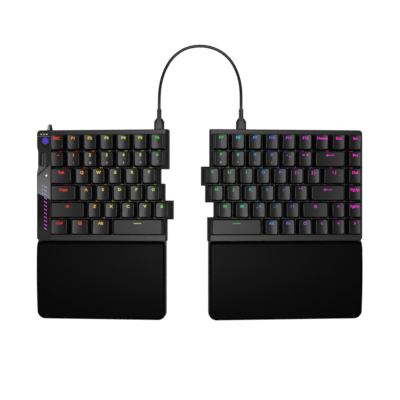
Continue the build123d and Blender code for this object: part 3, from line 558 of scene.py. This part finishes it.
def rainbow_light(name, strength, shift=0.0):
    """A clear piece lit from below in the colour of its place along the rows."""
    material, wire = start_material(name)
    points = wire.points()
    x, y, z = points.xyz()
    first, last = rainbow[0][0], rainbow[-1][0]
    along = (x + (y - rear_row_y) * rainbow_slant - shift - first) * (1 / (last - first))
    stops = [((place - first) / (last - first), colour) for place, colour in rainbow]
    colour = wire.node("ShaderNodeValToRGB", {0: along}, stops=stops)
    uneven = wire.node("ShaderNodeTexNoise", {"Vector": points, "Scale": 600.0, "Detail": 1.0})
    glow = wire.node("ShaderNodeVectorMath", {0: colour, "Scale": uneven * 0.5 + 0.75}, operation="SCALE")
    wire.surface({"Base Color": (0.003, 0.003, 0.003, 1), "Roughness": 0.5, "Specular IOR Level": 0.1,
                  "Emission Color": glow, "Emission Strength": strength})
    return material


lamp_light = rainbow_light("key_lamp_light", 0.28, shift=0.014)
lamp_tree, wire, given = tree_for("key_lamps", Size=tuple, Turn=tuple, Finish="NodeSocketMaterial")
lens = wire.node("GeometryNodeMeshCube", {"Size": given["Size"]})
lamps = wire.node("GeometryNodeInstanceOnPoints", {"Points": given["Geometry"], "Instance": lens,
                                                   "Rotation": given["Turn"]})
close_tree(wire, lamps, given["Finish"])
lamp_size = (3.0, 1.4, 0.5)
for deck in decks:
    places = [deck.matrix @ Vector((x, y + unit / 2 + 0.6, plate_top + lamp_size[2] / 2))
              for node, row, x, y, share, legend in keys[deck.side] if row]
    grown(f"{deck.side}_key_lamps", lamp_tree, places,
          {"Size": [value * mm for value in lamp_size], "Turn": (0, -deck.inward * slope, 0),
           "Finish": lamp_light}, deck.body, "light_guide")


# Keycaps
# Matt charcoal caps, moulded in one with the boss that grips the switch. Their tops are hollowed
# across, except on the space bars, and each row has its own height and slope.

skirt_height = plate_top + 6.1
cap_gap = 0.9
cap_side_draw, cap_front_draw, cap_rear_draw = 2.65, 1.5, 1.2
cap_heights = (9.7, 9.3, 8.7, 8.1, 8.1, 8.4)
cap_slopes = (6.0, 5.0, 2.0, 0.0, -3.0, -4.0)
cap_scoop, cap_lip = 0.7, 0.4
cap_skirt_corner, cap_top_corner = 1.0, 1.9
cap_wall = 1.0
bar_share = 3
slider_top = plate_top + 7.0
stem_radius, stem_gap = 2.75, 0.15
# The slider under a cap and those under the ends of a long one: width, depth and height
slider_block, guide_block = (7.2, 5.8, 5.5), (6.0, 6.4, 3.0)
# The rolled edge of a cap's top, from the wall inwards: how far out and how far down
cap_edge = ((0.52, 1.0), (0.44, 0.62), (0.30, 0.30), (0.12, 0.08), (-0.15, 0.0))
top_insets = (0.7, 1.6, 2.8, 4.2, 5.6)
cap_plastic = grained("cap_plastic", (0.0038, 0.0037, 0.0040), 0.40, grain=0.22 * mm, relief=0.008 * mm,
                      mottle=0.2, specular_ior_level=0.26)


def cap_top(row, share, x, y):
    """Height of a cap's top above its skirt, at a point from the key's centre."""
    half = (share * unit - cap_gap) / 2 - cap_side_draw - cap_lip
    height = cap_heights[row] + (y - (cap_front_draw - cap_rear_draw) / 2) * tan(radians(cap_slopes[row]))
    if share < bar_share and abs(x) < half:
        bow = (half ** 2 + cap_scoop ** 2) / (2 * cap_scoop)
        height -= sqrt(bow ** 2 - x ** 2) - (bow - cap_scoop)
    return height


def cap_ring(half_width, half_depth, corner, middle):
    """A rounded rectangle of 44 points, from the middle of its left side past the front."""
    across, along = half_width - corner, half_depth - corner
    bends = [pi / 2 * step / 4 for step in range(5)]
    side = [(-half_width, -along * step / 3) for step in range(3)]
    side += [(-across - corner * cos(bend), -along - corner * sin(bend)) for bend in bends]
    front = [(across * (step / 4 - 1), -half_depth) for step in range(1, 8)]
    lower = side + front + [(-x, y) for x, y in side[::-1]]
    upper = [(x, -y) for x, y in lower[-2:0:-1]]
    return [(x, y + middle) for x, y in lower + upper]


def cap_shell(row, share):
    """A cap as a thin rounded shell, at the key's centre with z from its skirt."""
    half_width = (share * unit - cap_gap) / 2
    half_depth = (unit - cap_gap) / 2
    top_width = half_width - cap_side_draw
    top_depth = half_depth - (cap_front_draw + cap_rear_draw) / 2
    middle = (cap_front_draw - cap_rear_draw) / 2
    rings = [[(x, y, 0) for x, y in cap_ring(half_width, half_depth, cap_skirt_corner, 0)]]
    for out, down in cap_edge + tuple((-inset, 0) for inset in top_insets):
        corner = max(0.3, cap_top_corner + min(out, 0))
        rings.append([(x, y, cap_top(row, share, x, y) - down)
                      for x, y in cap_ring(top_width + out, top_depth + out, corner, middle)])
    count = len(rings[0])
    faces = [(low + index, low + (index + 1) % count, low + count + (index + 1) % count, low + count + index)
             for low in range(0, (len(rings) - 1) * count, count) for index in range(count)]
    last = (len(rings) - 1) * count
    faces += [(last + index, last + index + 1, last + count - index - 1, last + (count - index) % count)
              for index in range(1, count // 2 - 1)]
    far = last + count // 2
    faces += [(last, last + 1, last + count - 1), (far - 1, far, far + 1)]
    mesh = bpy.data.meshes.new("cap")
    mesh.from_pydata([point for ring in rings for point in ring], [], faces)
    maker = bpy.data.objects.new("cap", mesh)
    scene.collection.objects.link(maker)
    hollow = maker.modifiers.new("hollow", "SOLIDIFY")
    hollow.thickness, hollow.offset = cap_wall, -1
    return plain(maker, "cap")


def box_skin(x, y, z, width, depth, height):
    """Points and faces of a block that stands on z."""
    return loft([[(x + sx * width / 2, y + sy * depth / 2, level)
                  for sx, sy in ((-1, -1), (1, -1), (1, 1), (-1, 1))] for level in (z, z + height)])


cap_tree, wire, given = tree_for("keys_of_one_kind", Cap="NodeSocketObject", Turn=tuple,
                                 Size="NodeSocketFloat", Finish="NodeSocketMaterial")
cap = wire.node("GeometryNodeObjectInfo", {0: given["Cap"]}, output="Geometry")
caps = wire.node("GeometryNodeInstanceOnPoints", {
    "Points": given["Geometry"], "Instance": cap, "Rotation": given["Turn"],
    "Scale": wire.node("ShaderNodeCombineXYZ", {0: given["Size"], 1: given["Size"], 2: given["Size"]})})
close_tree(wire, caps, given["Finish"])
stem_reaches = {2: 11.94, 2.25: 11.94, 3.125: 19.05}
for deck in decks:
    for node in dict.fromkeys(key[0] for key in keys[deck.side]):
        kin = [key for key in keys[deck.side] if key[0] == node]
        row, share = kin[0][1], kin[0][4]
        cap = cap_shell(row, share)
        shape = bmesh.new()
        shape.from_mesh(cap.data)
        reach = stem_reaches.get(share)
        skins = []
        for x in (0, -reach, reach) if reach else (0,):
            roof = cap_top(row, share, x, 0) - cap_wall / 2
            rings = [[(x + stem_radius * cos(pi * index / 12), stem_radius * sin(pi * index / 12), level)
                      for index in range(24)] for level in (slider_top + stem_gap - skirt_height, roof)]
            skins.append(loft(rings))
            width, depth, height = guide_block if x else slider_block
            skins.append(box_skin(x, 0, slider_top - height - skirt_height, width, depth, height))
        points, faces = joined(*skins)
        extra = bpy.data.meshes.new("stems")
        extra.from_pydata(points, [], faces)
        shape.from_mesh(extra)
        shape.to_mesh(cap.data)
        shape.free()
        bpy.data.meshes.remove(extra)
        places = [deck.matrix @ Vector((x, y, skirt_height)) for _, _, x, y, _, _ in kin]
        name = node + "_caps" if node.endswith("keys") else node + "_cap"
        grown(name, cap_tree, places,
              {"Cap": cap, "Turn": (0, -deck.inward * slope, 0), "Size": mm, "Finish": cap_plastic},
              node, "keycap_plastic", node, sharp=0.8)
        bpy.data.objects.remove(cap)


# Legends
# The legends are clear plastic moulded through the caps and lit by the lamps. The second signs of
# the number keys are printed in grey. All of them are a common layout in the plain built-in font.

legend_rise = 0.05
legend_depth = 0.25
legend_rear = (4.3, 4.35, 3.95, 3.7, 3.9, 4.05)
# By the number of letters: size of the font, how much bolder and how much wider
legend_sizes = {1: (4.2, 0.16, 1.15), 2: (4.0, 0.14, 1.25), 3: (4.0, 0.14, 1.15), 4: (3.9, 0.13, 1.2)}
pair_size = (4.0, 0.12, 1.2)
second_size, second_back = (3.0, 0.02), -4.0
strokes = {
    "dash": [[(-3.9, 0), (3.9, 0)]],
    "arrow": [[(-4.4, 0), (4.4, 0)], [(-3.0, 1.1), (-4.6, 0), (-3.0, -1.1)]],
    "shift": [[(-1.7, 0), (0, 1.6), (1.7, 0), (0.7, 0), (0.7, -1.2), (-0.7, -1.2), (-0.7, 0), (-1.7, 0)]],
    "grid": [[(-1.5, 1.5), (1.5, 1.5), (1.5, -1.5), (-1.5, -1.5), (-1.5, 1.5)], [(-1.5, 0), (1.5, 0)]],
    "ring": [[(1.5 * cos(pi * index / 6), 1.5 * sin(pi * index / 6)) for index in range(13)]],
    "up": [[(-1.1, -0.6), (0, 0.8), (1.1, -0.6)]],
    "down": [[(-1.1, 0.6), (0, -0.8), (1.1, 0.6)]],
    "lower": [[(0.7, 1.1), (-0.7, 0), (0.7, -1.1)]],
    "higher": [[(-0.7, 1.1), (0.7, 0), (-0.7, -1.1)]],
}
second_signs = dict(zip("1234567890", "!@#$%^&*()"))
stroke_width = 0.62


def word_skin(word, size, bold, stretch=1.0):
    """A word in the built-in font as flat closed plates, centred, with z from their middle."""
    data = bpy.data.curves.new("word", "FONT")
    data.body = word
    data.size = size
    data.align_x, data.align_y = "CENTER", "CENTER"
    data.resolution_u = 3
    data.offset = bold
    data.extrude = legend_depth / 2
    maker = bpy.data.objects.new("word", data)
    scene.collection.objects.link(maker)
    piece = plain(maker, "word")
    points = [(vertex.co.x * stretch, vertex.co.y, vertex.co.z) for vertex in piece.data.vertices]
    skin = points, [tuple(face.vertices) for face in piece.data.polygons]
    bpy.data.objects.remove(piece)
    return skin


def stroke_skin(lines):
    """Lines drawn with a pen of constant width, as flat closed plates."""
    skins = []
    for line in lines:
        for (x1, y1), (x2, y2) in zip(line, line[1:]):
            run = sqrt((x2 - x1) ** 2 + (y2 - y1) ** 2)
            ax, ay = (x2 - x1) / run * stroke_width / 2, (y2 - y1) / run * stroke_width / 2
            corners = ((x1 - ax + ay, y1 - ay - ax), (x2 + ax + ay, y2 + ay - ax),
                       (x2 + ax - ay, y2 + ay + ax), (x1 - ax - ay, y1 - ay + ax))
            skins.append(loft([[(x, y, side * legend_depth / 2) for x, y in corners] for side in (-1, 1)]))
    return joined(*skins)


def on_cap(skin, key, back):
    """Lays a sign on its cap, following the hollow."""
    node, row, x, y, share, legend = key
    points = [(x + px, y + py + back,
               skirt_height + cap_top(row, share, px, py + back) + legend_rise - legend_depth / 2 + pz)
              for px, py, pz in skin[0]]
    return points, skin[1]


legend_light = rainbow_light("legend_light", 1.0)
grey_print = grained("grey_print", (0.28, 0.28, 0.29), 0.6, mottle=0.3)
for deck in decks:
    for node in dict.fromkeys(key[0] for key in keys[deck.side]):
        lit, printed = [], []
        for key in keys[deck.side]:
            if key[0] != node:
                continue
            legend = key[5]
            back = legend_rear[key[1]]
            if legend in strokes:
                skin = stroke_skin(strokes[legend])
            elif len(legend) == 2 and not legend.isalnum():
                skin = word_skin(" ".join(legend), *pair_size)
            else:
                skin = word_skin(legend, *legend_sizes[min(len(legend), 4)])
            lit.append(on_cap(skin, key, back))
            if legend in second_signs:
                printed.append(on_cap(word_skin(second_signs[legend], *second_size), key, second_back))
        for name, skins, material, slot in ((node + "_legends", lit, legend_light, "light_guide"),
                                            (node + "_second_signs", printed, grey_print, "keycap_plastic")):
            if skins:
                wear(deck.piece(name, *joined(*skins)), material, node, slot)


# Frames
# The upper shell of each half is a dark grey satin moulding round the keys, with a spark-eroded grain.
# Its rim, stepped like the key rows, and the inner ends of the halves are duller and painted near
# black. Its control strip is duller too, with a pale line behind the badge, a painted highlight
# along a fine groove, and a grey wedge painted in front of the roller.

strip_start = -0.1702
rim_start, rim_end = -0.0600, 0.0250
ends_start, ends_end = -0.0385, 0.0125
rows_front, rows_rear = -0.0142, 0.0990
groove_highlight_front, groove_highlight_rear = 0.09765, 0.09815
wedge_slant, wedge_edge, wedge_rear = 0.85, 0.2122, 0.0643
frame_plastic, wire = start_material("frame_plastic")
points = wire.points()
x, y, z = points.xyz()
strip = x < strip_start
rim = (x > rim_start) * (x < rim_end) * (y > rows_front) * (y < rows_rear)
rim = (rim + (x > ends_start) * (x < ends_end)).clamped()
fine = wire.node("ShaderNodeTexNoise", {"Vector": points, "Scale": 3300.0, "Detail": 3.0})
slow = wire.node("ShaderNodeTexNoise", {"Vector": points, "Scale": 45.0, "Detail": 2.0})
groove_highlight = strip * (y > groove_highlight_front) * (y < groove_highlight_rear)
grey_wedge = strip * (y - x * wedge_slant > wedge_edge) * (y < wedge_rear)
shade = wire.mix(slow, (0.0068, 0.0068, 0.0070), (0.0080, 0.0080, 0.0082))
# The rim beside the keys and the inner ends of the halves, walls included, are painted near black.
shade = wire.mix(rim, shade, (0.0008, 0.0008, 0.0009))
# A grey wedge is painted on the control strip in front of the roller.
shade = wire.mix(grey_wedge, shade, (0.068, 0.068, 0.070))
# Painted highlight: a pale line where a fine groove behind the badge catches the light.
shade = wire.mix(groove_highlight, shade, (0.12, 0.12, 0.125))
bump = wire.node("ShaderNodeBump", {"Height": fine, "Distance": 0.012 * mm, "Strength": 1.0})
dull = (strip + rim) * 0.35
wire.surface({"Base Color": shade, "Roughness": (slow - 0.5) * 0.1 + dull + 0.40, "Normal": bump,
              "Specular IOR Level": 0.30})
paint(frame_plastic, "left_top_case", "right_top_case")


# Control strip
# Left of the keys: three small indicators, a lit six-sided badge, a fluted roller, and a smoked
# panel above a gloss black one with a column of slanted light dashes behind them.

badge_panel_corners = ((-14.6, 111.4), (-1.8, 111.4), (-1.8, 95.6), (-10.6, 101.8), (-14.9, 106.0))
badge_panel_rise = 0.03
gloss_black = grained("gloss_black", (0.003, 0.003, 0.0032), 0.22, relief=0.004 * mm)
panel_skin = loft([[(x, y, level) for x, y in badge_panel_corners]
                   for level in (case_top - 0.3, case_top + badge_panel_rise)])
wear(left.piece("badge_panel", *panel_skin), gloss_black, left.body, "smoked_panel")

smoked, wire = start_material("smoked_panel")
points = wire.points()
x, y, z = points.xyz()
break_slant, break_start, break_edge = 0.496, 0.1862, 0.0334
upper = y + (x + break_start) * break_slant > break_edge
fine = wire.node("ShaderNodeTexNoise", {"Vector": points, "Scale": 3000.0, "Detail": 2.0})
cloud = wire.node("ShaderNodeTexNoise", {"Vector": points, "Scale": 70.0, "Detail": 2.0})
# Painted light: the grey panel and the gloss black one are both painted lighter towards the front and darker
# towards the rear, for how the light falls across them.
front = wire.mix(cloud, (0.107, 0.107, 0.110), (0.127, 0.127, 0.130))
grey = wire.mix(((y - 0.030) * 30.0).clamped(), front, (0.042, 0.042, 0.044))
black = wire.mix(((y - 0.008) * -50.0).clamped(), (0.0004, 0.0004, 0.0005), (0.0145, 0.0145, 0.015))
shade = wire.mix(upper, black, grey)
bump = wire.node("ShaderNodeBump", {"Height": fine, "Distance": 0.01 * mm, "Strength": 1.0})
wire.surface({"Base Color": shade, "Roughness": 0.42 * upper + 0.16, "Normal": bump})
paint(smoked, "indicator_panel")

guide_light, wire = start_material("guide_light")
x, y, z = wire.points().xyz()
glow = (0.60, 0.03, 0.62)
# Where each colour starts, from the front: dashes, diamond, badge and indicators
guide_colours = (
    (0.0255, (0.45, 0.12, 0.75)), (0.0295, (0.36, 0.30, 0.62)), (0.050, (0.9, 0.9, 0.95)),
    (0.080, (0.42, 0.42, 0.45)), (0.088, (0.06, 0.006, 0.50)), (0.0975, (0.42, 0.42, 0.45)),
)
for start, colour in guide_colours:
    glow = wire.mix(y > start, glow, colour)
wire.surface({"Base Color": (0.02, 0.02, 0.02, 1), "Roughness": 0.25, "Emission Color": glow,
              "Emission Strength": 1.0})
paint(guide_light, "light_guides")

dash_tree, wire, given = tree_for("second_dash_column", Size=tuple, Turn=tuple, Finish="NodeSocketMaterial")
dash = wire.node("GeometryNodeMeshCube", {"Size": given["Size"]})
dashes = wire.node("GeometryNodeInstanceOnPoints", {"Points": given["Geometry"], "Instance": dash,
                                                    "Rotation": given["Turn"]})
close_tree(wire, dashes, given["Finish"])
places = [left.matrix @ Vector((-9.7, 47.3 + step * 4.45, case_top)) for step in range(3)]
grown("short_light_dashes", dash_tree, places,
      {"Size": (1.5 * mm, 1.2 * mm, 0.1 * mm), "Turn": (0, -slope, radians(-28)), "Finish": guide_light},
      left.body, "light_guide")

roller_grip, wire = start_material("roller_grip")
points = wire.points()
x, y, z = points.xyz()
fine = wire.node("ShaderNodeTexNoise", {"Vector": points, "Scale": 5000.0, "Detail": 2.0})
# Painted highlight: a lighter band down the roller's left third stands in for the light it catches there.
highlight_start, highlight_end = -0.1813, -0.1790
shade = wire.mix(fine, (0.006, 0.006, 0.0062), (0.009, 0.009, 0.0092))
shade = wire.mix((x > highlight_start) * (x < highlight_end), shade, (0.045, 0.045, 0.046))
bump = wire.node("ShaderNodeBump", {"Height": fine, "Distance": 0.02 * mm, "Strength": 1.0})
wire.surface({"Base Color": shade, "Roughness": fine * 0.1 + 0.45, "Normal": bump})
paint(roller_grip, "control_roller")
paint(switch_plastic, "roller_encoder")


# Loop tag
# A short woven ribbon folded double and clamped in the rear wall of the left half, pale on one
# side and black on the other.

tag_weave, wire = start_material("tag_weave")
tag_fold = -0.1722
x, y, z = wire.points().xyz()
threads = x.wave(0.5 * mm) * y.wave(0.5 * mm)
pale_side = x < tag_fold
shade = wire.mix(pale_side, (0.006, 0.006, 0.006), (0.30, 0.30, 0.31))
bump = wire.node("ShaderNodeBump", {"Height": threads, "Distance": 0.08 * mm, "Strength": 1.0})
wire.surface({"Base Color": shade, "Roughness": 0.85, "Normal": bump, "Sheen Weight": 0.2})
paint(tag_weave, "loop_tag")


# Fold-out legs
# A plate leg with a rubber sole swings out from a well under the inner edge of each half and of
# each palm rest, and props it up.

leg_plastic = grained("leg_plastic", (0.028, 0.028, 0.029), 0.5, grain=0.3 * mm, relief=0.03 * mm)
for side in ("left", "right"):
    paint(leg_plastic, f"{side}_tilt_leg", f"{side}_palm_leg")


# Palm rests
# A foam pad in a smooth black skin, crowned from front to back, is bonded to a flat moulded base
# with rubber feet.

palm_plastic = grained("palm_base_plastic", (0.014, 0.014, 0.0145), 0.55, grain=0.35 * mm, relief=0.03 * mm)
palm_skin = grained("palm_skin", (0.0010, 0.0010, 0.0010), 0.42, grain=0.9 * mm, relief=0.03 * mm,
                    mottle=0.2, specular_ior_level=0.04)
palm_rear, palm_front = -7.5, -97.0
palm_level = 6.0
palm_heights = (11.6, 15.6, 14.4)
palm_roll = 3.2
palm_corner = 9.0
rear_corner_share = 0.33
palm_spans = {"left": (-18.1, 130.57), "right": (-1.98, 174.95)}
edge_steps = (0, 0.25, 0.7, 1.3, 2.1, 3.2, 4.6, 6.2, 7.6, 9.0)


def palm_height(y):
    """The crown: an arc through the heights of the front, the middle and the rear."""
    share = (y - palm_front) / (palm_rear - palm_front)
    low, mid, high = palm_heights
    return low + share * (-3 * low + 4 * mid - high) + share ** 2 * (2 * low - 4 * mid + 2 * high)


def stations(low, high):
    """Places from one edge to the other, close together near both edges."""
    middle = [low + palm_corner + (high - low - 2 * palm_corner) * step / 16 for step in range(1, 16)]
    return [low + step for step in edge_steps] + middle + [high - step for step in edge_steps[::-1]]


for deck in decks:
    x_low, x_high = palm_spans[deck.side]
    xs, ys = stations(x_low, x_high), stations(palm_front, palm_rear)
    top, bottom = [], []
    for y in ys:
        for x in xs:
            p = max(0, palm_corner - (x - x_low), palm_corner - (x_high - x)) / palm_corner
            q = max(0, palm_corner - (y - palm_front), palm_corner - (palm_rear - y)) / palm_corner
            ring = max(p, q)
            if p > 0 and q > 0:
                angle = pi / 4 * q / p if p > q else pi / 2 - pi / 4 * p / q
                in_front = y < (palm_front + palm_rear) / 2
                share = 1 if in_front else rear_corner_share
                round_p, round_q = ring * cos(angle), ring * sin(angle)
                shift_x = (p - round_p) * share * palm_corner * (1 if x < (x_low + x_high) / 2 else -1)
                shift_y = (q - round_q) * share * palm_corner * (1 if in_front else -1)
            else:
                shift_x = shift_y = 0
            inset = palm_corner * (1 - ring)
            roll = max(0, palm_roll - inset)
            drop = palm_roll - sqrt(palm_roll ** 2 - roll ** 2)
            top.append((x + shift_x, y + shift_y, palm_height(y) - drop))
            bottom.append((x + shift_x, y + shift_y, palm_level))
    wide, deep = len(xs), len(ys)
    count = wide * deep
    quads = [(r * wide + c, r * wide + c + 1, (r + 1) * wide + c + 1, (r + 1) * wide + c)
             for r in range(deep - 1) for c in range(wide - 1)]
    rim = ([c for c in range(wide)] + [r * wide + wide - 1 for r in range(1, deep)]
           + [(deep - 1) * wide + c for c in range(wide - 2, -1, -1)]
           + [r * wide for r in range(deep - 2, 0, -1)])
    faces = quads + [tuple(index + count for index in quad[::-1]) for quad in quads]
    faces += [(a, b, b + count, a + count) for a, b in zip(rim, rim[1:] + rim[:1])]
    pad = deck.piece(f"{deck.side}_palm_cushion", top + bottom, faces, smooth=1.0)
    wear(pad, palm_skin, f"{deck.side}_palm_rest", "palm_skin", f"{deck.side}_palm_pad")
    paint(palm_plastic, f"{deck.side}_palm_base")
    paint(foot_rubber, f"{deck.side}_palm_feet")
